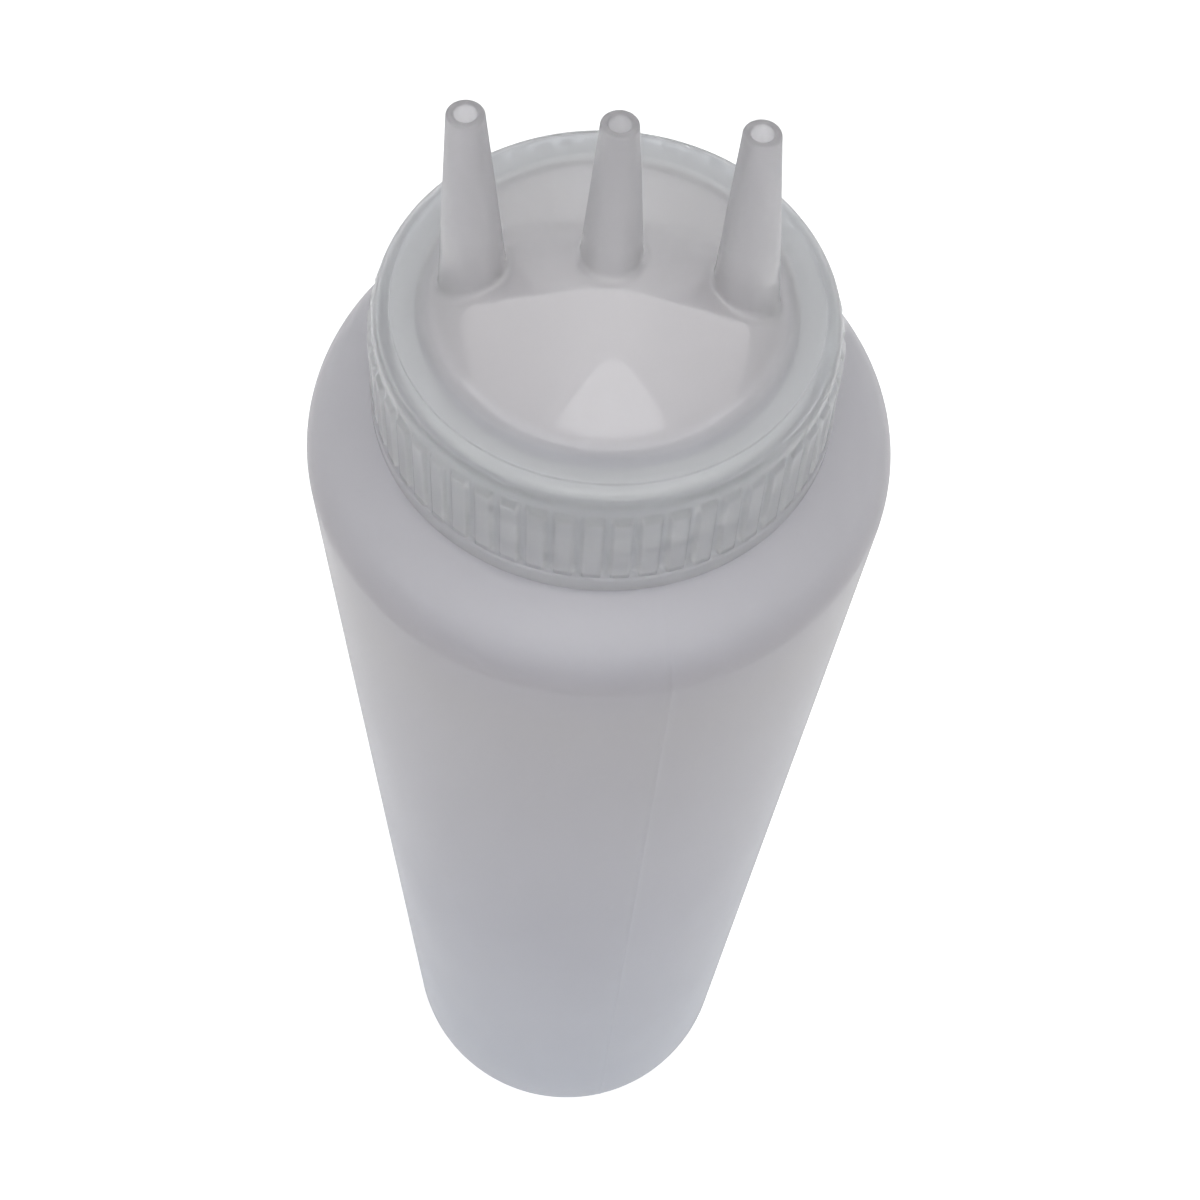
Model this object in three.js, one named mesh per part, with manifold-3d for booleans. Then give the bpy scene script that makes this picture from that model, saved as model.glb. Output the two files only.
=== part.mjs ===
// Dispensing sauce bottle: a squeeze bottle with a ribbed screw cap and three open nozzles in a row.
// Millimetres, +Z up. The origin is the centre of the base, and the nozzle row runs along X.

import * as THREE from 'three';
import { mergeVertices } from 'three/addons/utils/BufferGeometryUtils.js';
import { ConvexGeometry } from 'three/addons/geometries/ConvexGeometry.js';
import Module from 'manifold-3d';

const wasm = await Module();
wasm.setup();

const fullTurn = 2 * Math.PI;
const overrun = 1;

// Bottle body
const bottleHeight = 246.6;
const bodyRadius = 36;
const baseRadius = 35;
const bodyWall = 1.3;
const baseWall = 1.6;
const baseEdgeRadius = 3.5;
const restInnerRadius = 25;
const pushUpRadius = 19;
const pushUpHeight = 2.5;
const shoulderEdgeRadius = 7.5;
const shoulderAngle = THREE.MathUtils.degToRad(24.5);
const neckHeight = 13.85;
const neckRadius = 23.6;
const neckWall = 2.1;
const neckFootRadius = 1.6;
const lipChamfer = 0.3;
const bottleSegments = 72;
const arcSteps = 4;

// Screw thread, shared by the neck and the cap
const threadPitch = 4;
const threadDepth = 1.3;
const threadRootWidth = 2.3;
const threadCrestWidth = 1;
const threadTipClearance = 0.35;
const threadStartAngle = THREE.MathUtils.degToRad(-99);
const threadFadeTurns = 0.07;
const stepsPerTurn = 32;
const neckThreadTurns = 2.1;
const neckThreadDrop = 1.5;
const capThreadTurns = 1.5;

// Sealing ring between the lip of the neck and the plate of the cap
const sealThickness = 1.2;
const sealOverhang = 0.5;
const sealWidth = 2.8;
const sealOuterRadius = neckRadius + sealOverhang;
const sealInnerRadius = sealOuterRadius - sealWidth;
const sealChamfer = 0.2;
const seatGap = 0.3;
const sealSegments = 54;

// Cap: plate and skirt
const capPlate = 1.6;
const rimStep = 0.35;
const rimOuterRadius = sealOuterRadius;
const rimInnerRadius = sealInnerRadius;
const coveWidth = 1;
const gutterWidth = 0.5;
const gutterDepth = 0.15;
const gutterOuterRadius = rimInnerRadius - coveWidth;
const skirtInnerRadius = neckRadius + threadDepth + threadTipClearance;
const skirtTopWall = 0.95;
const skirtFootWall = 1.35;
const bandWall = 2.15;
const shoulderRadius = skirtInnerRadius + skirtTopWall;
const skirtFootRadius = skirtInnerRadius + skirtFootWall;
const bandRadius = skirtInnerRadius + bandWall;
const shoulderDrop = 3;
const skirtHeight = 17.2;
const bandHeight = 2.6;
const bandEdge = 0.25;
const skirtLeadIn = 0.9;
const skirtCornerRadius = 0.5;
const capSegments = 72;

// Cap: ribs round the skirt
const ribCount = 54;
const ribWidth = 2.15;
const ribTopProud = 0.15;
const ribFullProud = 0.55;
const ribTopSlope = 1.4;

// Cap: raised roof that carries the nozzles
const roofWall = 1.5;
const roofFootWall = 1.2;
const roofRadius = gutterOuterRadius - gutterWidth;
const roofHollowRadius = roofRadius - roofFootWall;
const ridgeHeight = 7.35;
const ridgeRadius = 16;
const ridgeAngle = THREE.MathUtils.degToRad(18.5);
const ridgeSetback = 3.8;
const ridgeHalfLength = roofRadius - ridgeSetback;
const ridgeFront = 4.7;
const ridgeRear = 3.9;
const ridgeInsetShare = 0.65;
const ridgePoints = 17;

// Cap: nozzles. The right one leans inward: its tip stands this far from a place straight above its foot.
const nozzleSetback = 1.15;
const nozzleSpacing = ridgeHalfLength - nozzleSetback;
const nozzleHeight = 26.4;
const rightTipShift = -1.15;
const nozzleTipRadius = 1.95;
const nozzleFootRadius = 3.75;
const nozzleEdge = 0.3;
const boreTipRadius = 1.15;
const boreFootRadius = 2.4;
const nozzleSegments = 24;

// Heights that follow from the sizes above
const neckFootHeight = bottleHeight - neckHeight;
const sealBottom = bottleHeight + seatGap;
const sealTop = sealBottom + sealThickness;
const plateBottom = sealTop + seatGap;
const rimHeight = plateBottom + capPlate;
const gutterHeight = rimHeight - gutterDepth;
const skirtBottom = rimHeight - skirtHeight;
const bandTop = skirtBottom + bandHeight;
const capShoulderHeight = rimHeight - shoulderDrop;
const ridgeTop = rimHeight + ridgeHeight;
const neckThreadTop = bottleHeight - neckThreadDrop;
const neckThreadBottom = neckThreadTop - neckThreadTurns * threadPitch;
const capThreadBottom = neckThreadBottom + threadPitch / 2;

// A closed solid from a geometry. Triangles without area go, and the faces are turned outward.
function solidOf(geometry) {
  const bare = geometry.clone();
  bare.deleteAttribute('normal');
  bare.deleteAttribute('uv');
  const merged = mergeVertices(bare);
  const position = merged.attributes.position;
  const index = merged.index.array;
  const corner = [new THREE.Vector3(), new THREE.Vector3(), new THREE.Vector3()];
  const triangles = [];
  let volume = 0;
  for (let i = 0; i < index.length; i += 3) {
    const [a, b, c] = [index[i], index[i + 1], index[i + 2]];
    if (a === b || b === c || c === a) continue;
    triangles.push(a, b, c);
    corner.forEach((point, k) => point.fromBufferAttribute(position, index[i + k]));
    volume += corner[0].dot(corner[1].cross(corner[2]));
  }
  if (volume < 0) triangles.reverse();
  return new wasm.Manifold(new wasm.Mesh({
    numProp: 3,
    vertProperties: new Float32Array(position.array),
    triVerts: new Uint32Array(triangles),
  }));
}

// A mesh of the scene from a solid.
function meshOf(name, solid, material) {
  const data = solid.getMesh();
  const geometry = new THREE.BufferGeometry();
  geometry.setAttribute('position', new THREE.BufferAttribute(new Float32Array(data.vertProperties), 3));
  geometry.setIndex(new THREE.BufferAttribute(new Uint32Array(data.triVerts), 1));
  geometry.computeVertexNormals();
  const mesh = new THREE.Mesh(geometry, material);
  mesh.name = name;
  return mesh;
}

const at = (radius, height) => new THREE.Vector2(radius, height);

// Points of an arc in the radius and height plane, from one angle to the other.
function arc(centre, radius, from, to) {
  const points = [];
  for (let i = 0; i <= arcSteps; i += 1) {
    const angle = from + (to - from) * i / arcSteps;
    points.push(at(centre.x + radius * Math.cos(angle), centre.y + radius * Math.sin(angle)));
  }
  return points;
}

// A profile of radius and height points turned about the Z axis.
function turned(profile, segments) {
  return solidOf(new THREE.LatheGeometry(profile, segments).rotateX(Math.PI / 2));
}

// A profile that closes on itself, turned about the Z axis.
function turnedRing(profile, segments) {
  return turned([...profile, profile[0]], segments);
}

// A helical ridge of trapezoid section. It climbs one pitch a turn and fades into its wall at both ends.
// The crest is outside the root on the neck and inside it in the cap.
function thread(root, crest, turns, bottom) {
  const steps = Math.round(turns * stepsPerTurn);
  const outward = Math.sign(crest - root);
  const fadeSteps = threadFadeTurns * stepsPerTurn;
  const sunk = root - outward * threadDepth / 2;
  const rings = [];
  for (let i = 0; i <= steps; i += 1) {
    const angle = threadStartAngle + fullTurn * turns * i / steps;
    const middle = bottom + threadPitch * turns * i / steps;
    const rise = Math.min(1, i / fadeSteps, (steps - i) / fadeSteps);
    const tip = root + (crest - root) * rise;
    const section = [
      [sunk, -threadRootWidth / 2],
      [root, -threadRootWidth / 2],
      [tip, -threadCrestWidth / 2],
      [tip, threadCrestWidth / 2],
      [root, threadRootWidth / 2],
      [sunk, threadRootWidth / 2],
    ];
    rings.push(section.map(([radius, height]) => [
      radius * Math.cos(angle),
      radius * Math.sin(angle),
      middle + height,
    ]));
  }
  const count = rings[0].length;
  const faces = [];
  for (let i = 0; i < steps; i += 1) {
    for (let k = 0; k < count; k += 1) {
      const a = i * count + k;
      const b = i * count + (k + 1) % count;
      faces.push(a, b, b + count, a, b + count, a + count);
    }
  }
  const last = steps * count;
  for (let k = 1; k < count - 1; k += 1) {
    faces.push(0, k + 1, k);
    faces.push(last, last + k, last + k + 1);
  }
  const geometry = new THREE.BufferGeometry();
  geometry.setAttribute('position', new THREE.Float32BufferAttribute(rings.flat(2), 3));
  geometry.setIndex(faces);
  return solidOf(geometry);
}

// The bottle's wall is one thickness from the base to the neck, so its inside is the outside moved inward.
function bottleProfile() {
  const edgeCentre = at(baseRadius - baseEdgeRadius, baseEdgeRadius);
  const shoulderSlope = Math.PI / 2 - shoulderAngle;
  const coneRun = (height) => (height - neckFootHeight) / Math.tan(shoulderAngle);
  const coneStart = neckRadius + neckFootRadius;
  const arcTopRadius = bodyRadius - shoulderEdgeRadius * (1 - Math.cos(shoulderSlope));
  const arcTopHeight = neckFootHeight - (arcTopRadius - coneStart) * Math.tan(shoulderAngle);
  const shoulderCentre = at(
    bodyRadius - shoulderEdgeRadius,
    arcTopHeight - shoulderEdgeRadius * Math.sin(shoulderSlope),
  );
  const outside = [
    at(0, pushUpHeight),
    at(pushUpRadius, pushUpHeight),
    at(restInnerRadius, 0),
    ...arc(edgeCentre, baseEdgeRadius, -Math.PI / 2, 0),
    ...arc(shoulderCentre, shoulderEdgeRadius, 0, shoulderSlope),
    at(coneStart, neckFootHeight),
    at(neckRadius, neckFootHeight + neckFootRadius),
    at(neckRadius, bottleHeight - lipChamfer),
    at(neckRadius - lipChamfer, bottleHeight),
  ];
  const bore = neckRadius - neckWall;
  const underCone = neckFootHeight - bodyWall / Math.cos(shoulderAngle);
  const inside = [
    at(bore, bottleHeight),
    at(bore, underCone - coneRun(neckFootHeight) + (coneStart - bore) * Math.tan(shoulderAngle)),
    ...arc(shoulderCentre, shoulderEdgeRadius - bodyWall, shoulderSlope, 0),
    ...arc(edgeCentre, baseEdgeRadius - bodyWall, 0, -Math.PI / 2),
    at(restInnerRadius, baseWall),
    at(pushUpRadius, pushUpHeight + baseWall),
    at(0, pushUpHeight + baseWall),
  ];
  return [...outside, ...inside];
}

function bottleBody() {
  const body = turned(bottleProfile(), bottleSegments);
  return body.add(thread(neckRadius, neckRadius + threadDepth, neckThreadTurns, neckThreadBottom));
}

function sealingRing() {
  return turnedRing([
    at(sealInnerRadius, sealBottom + sealChamfer),
    at(sealInnerRadius + sealChamfer, sealBottom),
    at(sealOuterRadius - sealChamfer, sealBottom),
    at(sealOuterRadius, sealBottom + sealChamfer),
    at(sealOuterRadius, sealTop - sealChamfer),
    at(sealOuterRadius - sealChamfer, sealTop),
    at(sealInnerRadius + sealChamfer, sealTop),
    at(sealInnerRadius, sealTop - sealChamfer),
  ], sealSegments);
}

// The flat plate and the skirt, with the round shoulder between them and the plain band at the foot.
function plateAndSkirt() {
  const shoulderRun = shoulderRadius - rimOuterRadius;
  const shoulderFall = shoulderDrop - rimStep;
  const rounded = arc(at(0, 0), 1, Math.PI / 2, 0).map((point) => at(
    rimOuterRadius + shoulderRun * point.x,
    capShoulderHeight + shoulderFall * point.y,
  ));
  return turnedRing([
    at((roofRadius + roofHollowRadius) / 2, gutterHeight),
    at(gutterOuterRadius, gutterHeight),
    at(rimInnerRadius, rimHeight),
    at(rimOuterRadius, rimHeight),
    ...rounded,
    at(skirtFootRadius, bandTop),
    at(bandRadius - bandEdge, bandTop),
    at(bandRadius, bandTop - bandEdge),
    at(bandRadius, skirtBottom + bandEdge),
    at(bandRadius - bandEdge, skirtBottom),
    at(skirtInnerRadius + skirtLeadIn, skirtBottom),
    at(skirtInnerRadius, skirtBottom + skirtLeadIn),
    at(skirtInnerRadius, plateBottom - skirtCornerRadius),
    at(skirtInnerRadius - skirtCornerRadius, plateBottom),
    at((roofRadius + roofHollowRadius) / 2, plateBottom),
  ], capSegments);
}

// One grip rib: it grows out of the shoulder along a short slope and ends on the band.
function rib() {
  const side = new THREE.Shape([
    at(skirtInnerRadius + ribTopProud, capShoulderHeight),
    at(shoulderRadius + ribTopProud, capShoulderHeight),
    at(shoulderRadius + ribFullProud, capShoulderHeight - ribTopSlope),
    at(skirtFootRadius + ribFullProud, bandTop - bandEdge / 2),
    at(skirtInnerRadius + ribTopProud, bandTop - bandEdge / 2),
  ]);
  const geometry = new THREE.ExtrudeGeometry(side, { depth: ribWidth, bevelEnabled: false });
  return geometry.translate(0, 0, -ribWidth / 2).rotateX(Math.PI / 2);
}

function withRibs(skirt) {
  let ribbed = skirt;
  for (let i = 0; i < ribCount; i += 1) {
    const angle = fullTurn * (i + 1 / 2) / ribCount;
    ribbed = ribbed.add(solidOf(rib().rotateZ(angle)));
  }
  return ribbed;
}

// Height of the ridge over a place along the nozzle row: a round crown that runs out into straight slopes.
function ridgeDrop(x) {
  const crown = ridgeRadius * Math.sin(ridgeAngle);
  const away = Math.abs(x);
  if (away <= crown) return ridgeRadius - Math.sqrt(ridgeRadius ** 2 - away ** 2);
  return ridgeRadius * (1 - Math.cos(ridgeAngle)) + (away - crown) * Math.tan(ridgeAngle);
}

// The roof is the hull of its round foot and the two arched edges of the ridge.
function roofForm(inset, footRadius, footHeight, bottom) {
  const points = [];
  const halfLength = ridgeHalfLength - inset * ridgeInsetShare;
  for (let i = 0; i < ridgePoints; i += 1) {
    const x = halfLength * (2 * i / (ridgePoints - 1) - 1);
    const height = ridgeTop - inset - ridgeDrop(x);
    points.push(new THREE.Vector3(x, -ridgeFront + inset * ridgeInsetShare, height));
    points.push(new THREE.Vector3(x, ridgeRear - inset * ridgeInsetShare, height));
  }
  for (let i = 0; i < capSegments; i += 1) {
    const angle = fullTurn * i / capSegments;
    const [x, y] = [footRadius * Math.cos(angle), footRadius * Math.sin(angle)];
    points.push(new THREE.Vector3(x, y, footHeight));
    points.push(new THREE.Vector3(x, y, bottom));
  }
  return solidOf(new ConvexGeometry(points));
}

// Moves a nozzle to its place in the row. Its levels shift in proportion to their height above the rim.
function placed(nozzle, place) {
  return nozzle.warp((point) => {
    point[0] += place.x + place.tipShift * (point[2] - rimHeight) / nozzleHeight;
  });
}

function nozzleOutside() {
  const tip = rimHeight + nozzleHeight;
  return turned([
    at(0, plateBottom),
    at(nozzleFootRadius, plateBottom),
    at(nozzleFootRadius, rimHeight + ridgeHeight - ridgeDrop(ridgeHalfLength)),
    at(nozzleTipRadius, tip - nozzleEdge),
    at(nozzleTipRadius - nozzleEdge, tip),
    at(0, tip),
  ], nozzleSegments);
}

function nozzleBore() {
  const tip = rimHeight + nozzleHeight;
  return turned([
    at(0, gutterHeight),
    at(boreFootRadius, gutterHeight),
    at(boreTipRadius, tip),
    at(boreTipRadius, tip + overrun),
    at(0, tip + overrun),
  ], nozzleSegments);
}

function screwCap() {
  const places = [
    { x: -nozzleSpacing, tipShift: 0 },
    { x: 0, tipShift: 0 },
    { x: nozzleSpacing, tipShift: rightTipShift },
  ];
  let roof = roofForm(0, roofRadius, gutterHeight, plateBottom);
  for (const place of places) roof = roof.add(placed(nozzleOutside(), place));
  roof = roof.subtract(roofForm(roofWall, roofHollowRadius, plateBottom, plateBottom - overrun));
  for (const place of places) roof = roof.subtract(placed(nozzleBore(), place));
  const crest = neckRadius + threadTipClearance;
  const inner = thread(skirtInnerRadius, crest, capThreadTurns, capThreadBottom);
  return withRibs(plateAndSkirt()).add(roof).add(inner);
}

const frostedPlastic = new THREE.MeshStandardMaterial({ color: 0xb5b6bd, roughness: 0.45, metalness: 0 });
const capPlastic = new THREE.MeshStandardMaterial({ color: 0xbcbdc3, roughness: 0.35, metalness: 0 });
const sealRubber = new THREE.MeshStandardMaterial({ color: 0xc6c6c8, roughness: 0.6, metalness: 0 });

const bottle = new THREE.Group();
bottle.add(meshOf('bottle_body', bottleBody(), frostedPlastic));
bottle.add(meshOf('sealing_ring', sealingRing(), sealRubber));
bottle.add(meshOf('screw_cap', screwCap(), capPlastic));

export default bottle;
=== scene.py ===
# Looks of the sauce bottle: fine meshes of its three pieces, their plastics, soft light and the camera.
# Sizes are in metres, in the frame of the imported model. Heights on the cap count from its flat rim.

import math

import bmesh
import bpy
import numpy as np
from mathutils import Matrix, Vector
from mathutils.geometry import delaunay_2d_cdt

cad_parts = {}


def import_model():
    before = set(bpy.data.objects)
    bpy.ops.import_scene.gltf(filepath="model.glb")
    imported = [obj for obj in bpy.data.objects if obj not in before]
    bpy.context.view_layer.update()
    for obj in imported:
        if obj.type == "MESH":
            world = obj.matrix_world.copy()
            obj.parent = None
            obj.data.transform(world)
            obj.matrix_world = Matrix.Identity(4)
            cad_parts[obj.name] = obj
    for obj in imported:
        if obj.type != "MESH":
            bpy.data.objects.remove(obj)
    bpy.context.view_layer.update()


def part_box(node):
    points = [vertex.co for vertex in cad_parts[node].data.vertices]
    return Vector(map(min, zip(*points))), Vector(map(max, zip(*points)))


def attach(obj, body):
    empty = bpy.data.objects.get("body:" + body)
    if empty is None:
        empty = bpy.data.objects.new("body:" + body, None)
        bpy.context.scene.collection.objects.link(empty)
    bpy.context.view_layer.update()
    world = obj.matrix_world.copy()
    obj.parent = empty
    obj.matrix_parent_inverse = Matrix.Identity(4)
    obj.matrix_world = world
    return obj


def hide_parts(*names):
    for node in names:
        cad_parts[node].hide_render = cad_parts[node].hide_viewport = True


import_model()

MM = 0.001
_, BODY_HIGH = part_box("bottle_body")
SEAL_LOW, SEAL_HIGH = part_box("sealing_ring")
CAP_LOW, CAP_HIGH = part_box("screw_cap")

# Camera, fitted to the photograph
CAMERA_DISTANCE = 186.39 * MM
CAMERA_HEIGHT_ANGLE = math.radians(51.455)
CAMERA_PITCH = math.radians(10.254)
CAMERA_YAW = math.radians(-0.364)
CAMERA_ROLL = math.radians(-3.699)
CAMERA_LENS_MM = 50.16
CAMERA_SENSOR_MM = 36
CAMERA_NEAR = 10 * MM
CAMERA_FAR = 20000 * MM

# Bottle
BODY_RADIUS = BODY_HIGH[0]
LIP_HEIGHT = BODY_HIGH[2]
BASE_RADIUS = 35 * MM
WALL = 1.3 * MM
BASE_WALL = 1.6 * MM
BASE_EDGE_RADIUS = 3.5 * MM
REST_RADIUS = 25 * MM
PUSH_UP_RADIUS = 19 * MM
PUSH_UP_HEIGHT = 2.5 * MM
SHOULDER_EDGE_RADIUS = 7.5 * MM
SHOULDER_ANGLE = math.radians(24.5)
NECK_HEIGHT = 13.85 * MM
NECK_RADIUS = 23.6 * MM
NECK_WALL = 2.1 * MM
NECK_BORE_RADIUS = NECK_RADIUS - NECK_WALL
NECK_FOOT_RADIUS = 1.6 * MM
LIP_ROUNDING = 0.5 * MM
BODY_SEGMENTS = 240
SEAM_ANGLE = math.radians(-73.7)
SEAM_ANGLES = (SEAM_ANGLE, SEAM_ANGLE + math.pi)
SEAM_WIDTH = 0.4 * MM
SEAM_HEIGHT = 0.09 * MM
SEAM_STEPS = 4

# Thread
THREAD_PITCH = 4 * MM
THREAD_DEPTH = 1.3 * MM
THREAD_ROOT_WIDTH = 2.3 * MM
THREAD_CREST_WIDTH = 1 * MM
THREAD_START_ANGLE = math.radians(-99)
THREAD_FADE = math.radians(25)
NECK_THREAD_TURNS = 2.1
NECK_THREAD_DROP = 1.5 * MM
NECK_THREAD_BOTTOM = LIP_HEIGHT - NECK_THREAD_DROP - NECK_THREAD_TURNS * THREAD_PITCH
CAP_THREAD_TURNS = 1.5
THREAD_TIP_CLEARANCE = 0.35 * MM
THREAD_ROW_STEP = 0.2 * MM

SEAL_EDGE = 0.2 * MM

# Cap plate and skirt
NOZZLE_HEIGHT = 26.4 * MM
RIM = CAP_HIGH[2] - NOZZLE_HEIGHT
SKIRT_FOOT = CAP_LOW[2] - RIM
PLATE = 1.6 * MM
RIM_STEP = 0.35 * MM
RIM_OUTER_RADIUS = 24.1 * MM
RIM_EDGE = 0.12 * MM
RIM_EDGE_SHARE = 0.3
RIM_INNER_RADIUS = 21.3 * MM
GUTTER_OUTER_RADIUS = 20.3 * MM
GUTTER_DEPTH = 0.15 * MM
COVE_STEPS = 3
SHOULDER_RADIUS = 26.2 * MM
SHOULDER_DROP = 3 * MM
SHOULDER_PLATE_ANGLES = np.radians([88, 82, 75])
SHOULDER_SKIRT_ANGLES = np.linspace(math.radians(68), 0, 9)
SKIRT_FOOT_RADIUS = 26.6 * MM
BAND_RADIUS = CAP_HIGH[0]
BAND_HEIGHT = 2.6 * MM
BAND_EDGE = 0.35 * MM
SKIRT_INNER_RADIUS = NECK_RADIUS + THREAD_DEPTH + THREAD_TIP_CLEARANCE
SKIRT_LEAD_IN = 0.9 * MM
SKIRT_CORNER_RADIUS = 0.5 * MM
CAP_SEGMENTS = 216

# Ribs
RIB_COUNT = 54
RIB_WIDTH = 2.15 * MM
RIB_EDGE = 0.45 * MM
RIB_PROUD = 0.55 * MM
RIB_TOP_SLOPE = 1.5 * MM
RIB_TOP_ROWS = 8
RIB_ROWS = 12
STEPS_PER_RIB = 16

# Roof
ROOF_RADIUS = 19.8 * MM
ROOF_WALL = 1.5 * MM
ROOF_HOLLOW_RADIUS = 18.6 * MM
ROOF_EDGE_RADIUS = 20.9 * MM
RIDGE_HEIGHT = 7.35 * MM
RIDGE_RADIUS = 16 * MM
RIDGE_ANGLE = math.radians(18.5)
RIDGE_HALF_LENGTH = 16 * MM
RIDGE_FRONT = 4.7 * MM
RIDGE_REAR = 3.9 * MM
RIDGE_INSET_SHARE = 0.65
PLANES_ON_CROWN = 61
PLANES_ROUND_END = 61
FRONT_CREASE_ROUNDING = 0.1 * MM
REAR_CREASE_ROUNDING = 0.9 * MM
FOOT_ROUNDING = 0.6 * MM
CREASES = (-RIDGE_FRONT, RIDGE_REAR)
FOOT_RINGS = [r * MM for r in (18.9, 19.2, 19.5, 19.8, 20.1, 20.5)]

# Triangles of the roof: their grid, and the closer rows beside its creases and round its holes
ROOF_GRID = 0.5 * MM
GRID_MARGIN = ROOF_GRID * 0.7
CREASE_GRID = 0.12 * MM
CREASE_ROWS = 6
HOLE_NEAR_RING = 0.22 * MM
HOLE_FAR_RING = 0.5 * MM
HOLE_MARGIN = 0.8 * MM
GRID_TOLERANCE_MM = 1e-5

# Nozzles. The right one leans inward: its tip stands this far from a place straight above its foot.
NOZZLE_SPACING = 14.85 * MM
RIGHT_TIP_SHIFT = -1.15 * MM
NOZZLE_TIP_RADIUS = 1.95 * MM
NOZZLE_FOOT_RADIUS = 3.75 * MM
NOZZLE_TIP_ROUNDING = 0.35 * MM
NOZZLE_FILLET = 1 * MM
BORE_TIP_RADIUS = 1.15 * MM
BORE_FOOT_RADIUS = 2.4 * MM
BORE_ROUNDING = 0.2 * MM
NOZZLE_SEGMENTS = 64
NOZZLE_ROWS = 24
MEETING_ROUNDS = 8

MERGE_DISTANCE = 0.002 * MM

# Heights above the table at which the cap's plastic changes
BELOW_RIM = RIM - 2 * RIM_STEP
DECK = RIM + RIDGE_HEIGHT
SHAFT = DECK + NOZZLE_FOOT_RADIUS
TIP = RIM + NOZZLE_HEIGHT

# Stops of what changes over the plastics: a height or a radius, and the value there
# Body colour by height: bluer and darker low down, warmer higher up, then painted shade on the lower part of
# the shoulder's round edge, a painted highlight band at its top, and slightly darker on the cone above it.
BODY_TONE_AND_PAINTED_LIGHT = [
    (0, (0.76, 0.8, 0.865)),
    (30 * MM, (0.725, 0.765, 0.83)),
    (120 * MM, (0.76, 0.77, 0.815)),
    (170 * MM, (0.81, 0.806, 0.824)),
    (214 * MM, (0.845, 0.83, 0.82)),
    (225.5 * MM, (0.85, 0.835, 0.84)),
    (228.5 * MM, (1, 1, 1)),
    (231 * MM, (1, 1, 1)),
    (234 * MM, (0.95, 0.95, 0.955)),
    (238 * MM, (1, 1, 1)),
]
# Painted shade on the cap by height: a little darker from the rim up, darker up the nozzles, darkest at their
# tips.
CAP_PAINTED_SHADE_BY_HEIGHT = [
    (BELOW_RIM, (1, 1, 0.995)),
    (RIM, (0.95, 0.945, 0.95)),
    (SHAFT, (0.9, 0.9, 0.91)),
    (TIP, (0.83, 0.83, 0.84)),
]
# Painted light on the cap by radius: painted shade over the roof's hollow, lighter round the roof's foot,
# painted shade with a little blue over the flat rim, and none on the skirt.
CAP_PAINTED_LIGHT_BY_RADIUS = [
    (ROOF_HOLLOW_RADIUS, (0.905, 0.895, 0.9)),
    (ROOF_RADIUS, (0.97, 0.97, 0.98)),
    (ROOF_EDGE_RADIUS, (0.95, 0.96, 0.97)),
    (RIM_INNER_RADIUS, (0.865, 0.88, 0.895)),
    (SHOULDER_RADIUS, (0.865, 0.88, 0.895)),
    (BAND_RADIUS, (1, 1, 1)),
]
CAP_CLEARNESS = [(BELOW_RIM, 0.87), (RIM, 0.8), (SHAFT, 0.56), (TIP - 2 * NOZZLE_FOOT_RADIUS, 0.6), (TIP, 0.75)]
CAP_ROUGHNESS = [(BELOW_RIM, 0.93), (RIM, 1)]
GLOSS_BY_HEIGHT = [(DECK, 1), (SHAFT, 0)]
GLOSS_BY_RADIUS = [
    (ROOF_EDGE_RADIUS, 1), (RIM_INNER_RADIUS, 0.35), (RIM_OUTER_RADIUS, 0.35), (SHOULDER_RADIUS, 0.2)]

# Patterns in the plastics
CLOUD_DETAIL = 4
CLOUD_RANGE = (0.15, 0.85)
SHEEN_FINENESS = 3
SHEEN_DETAIL = 3
SHEEN_RANGE = (0.1, 0.9)
GRAIN_DETAIL = 2
GRAIN_STRENGTH = 0.5
SCATTER_DEPTH = 4 * MM

# Stage
FLOOR_REACH = 10
FLOOR_COLOUR = (0.8, 0.8, 0.8, 1)
FLOOR_ROUGHNESS = 0.9
FLOOR_SPECULAR = 0.1
FLOOR_GLOW = 0.6
WORLD_COLOUR = (0.95, 0.97, 1, 1)
WORLD_STRENGTH = 0.52

# Lamps: name, place, size, power and colour. A broad softbox hangs above the viewer, and in it a brighter
# window that the front of the roof mirrors.
LAMP_TARGET = (0, -10 * MM, RIM)
LAMPS = [
    ("ceiling", (0, 0.12, RIM + 1.05), (1.8, 0.18), 1.6, (1, 1, 1)),
    ("softbox", (0, -0.43, RIM + 1), (2.1, 1), 5, (1, 0.96, 0.93)),
    ("window", (0.03, -0.487, RIM + 0.98), (0.8, 0.368), 1.4, (1, 1, 1)),
    ("front", (0, -1.1, RIM + 0.75), (2, 0.4), 2, (1, 1, 1)),
]


# Curves and surfaces

def arc(centre, radius, start, end, steps):
    """Points of an arc in the radius and height plane."""
    angles = np.linspace(start, end, steps + 1)
    return [(centre[0] + radius * math.cos(a), centre[1] + radius * math.sin(a)) for a in angles]


def line(start, end, steps):
    """Points from start to end, both included."""
    return [tuple(point) for point in np.linspace(start, end, steps + 1)]


def soft_min(a, b, width):
    """The lower of two surfaces, rounded where they cross."""
    overlap = np.maximum(width - np.abs(a - b), 0)
    return np.minimum(a, b) - overlap ** 2 / (4 * width)


def soft_max(a, b, width):
    return -soft_min(-a, -b, width)


def smooth_step(value):
    value = np.clip(value, 0, 1)
    return value * value * (3 - 2 * value)


# Meshes

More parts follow.
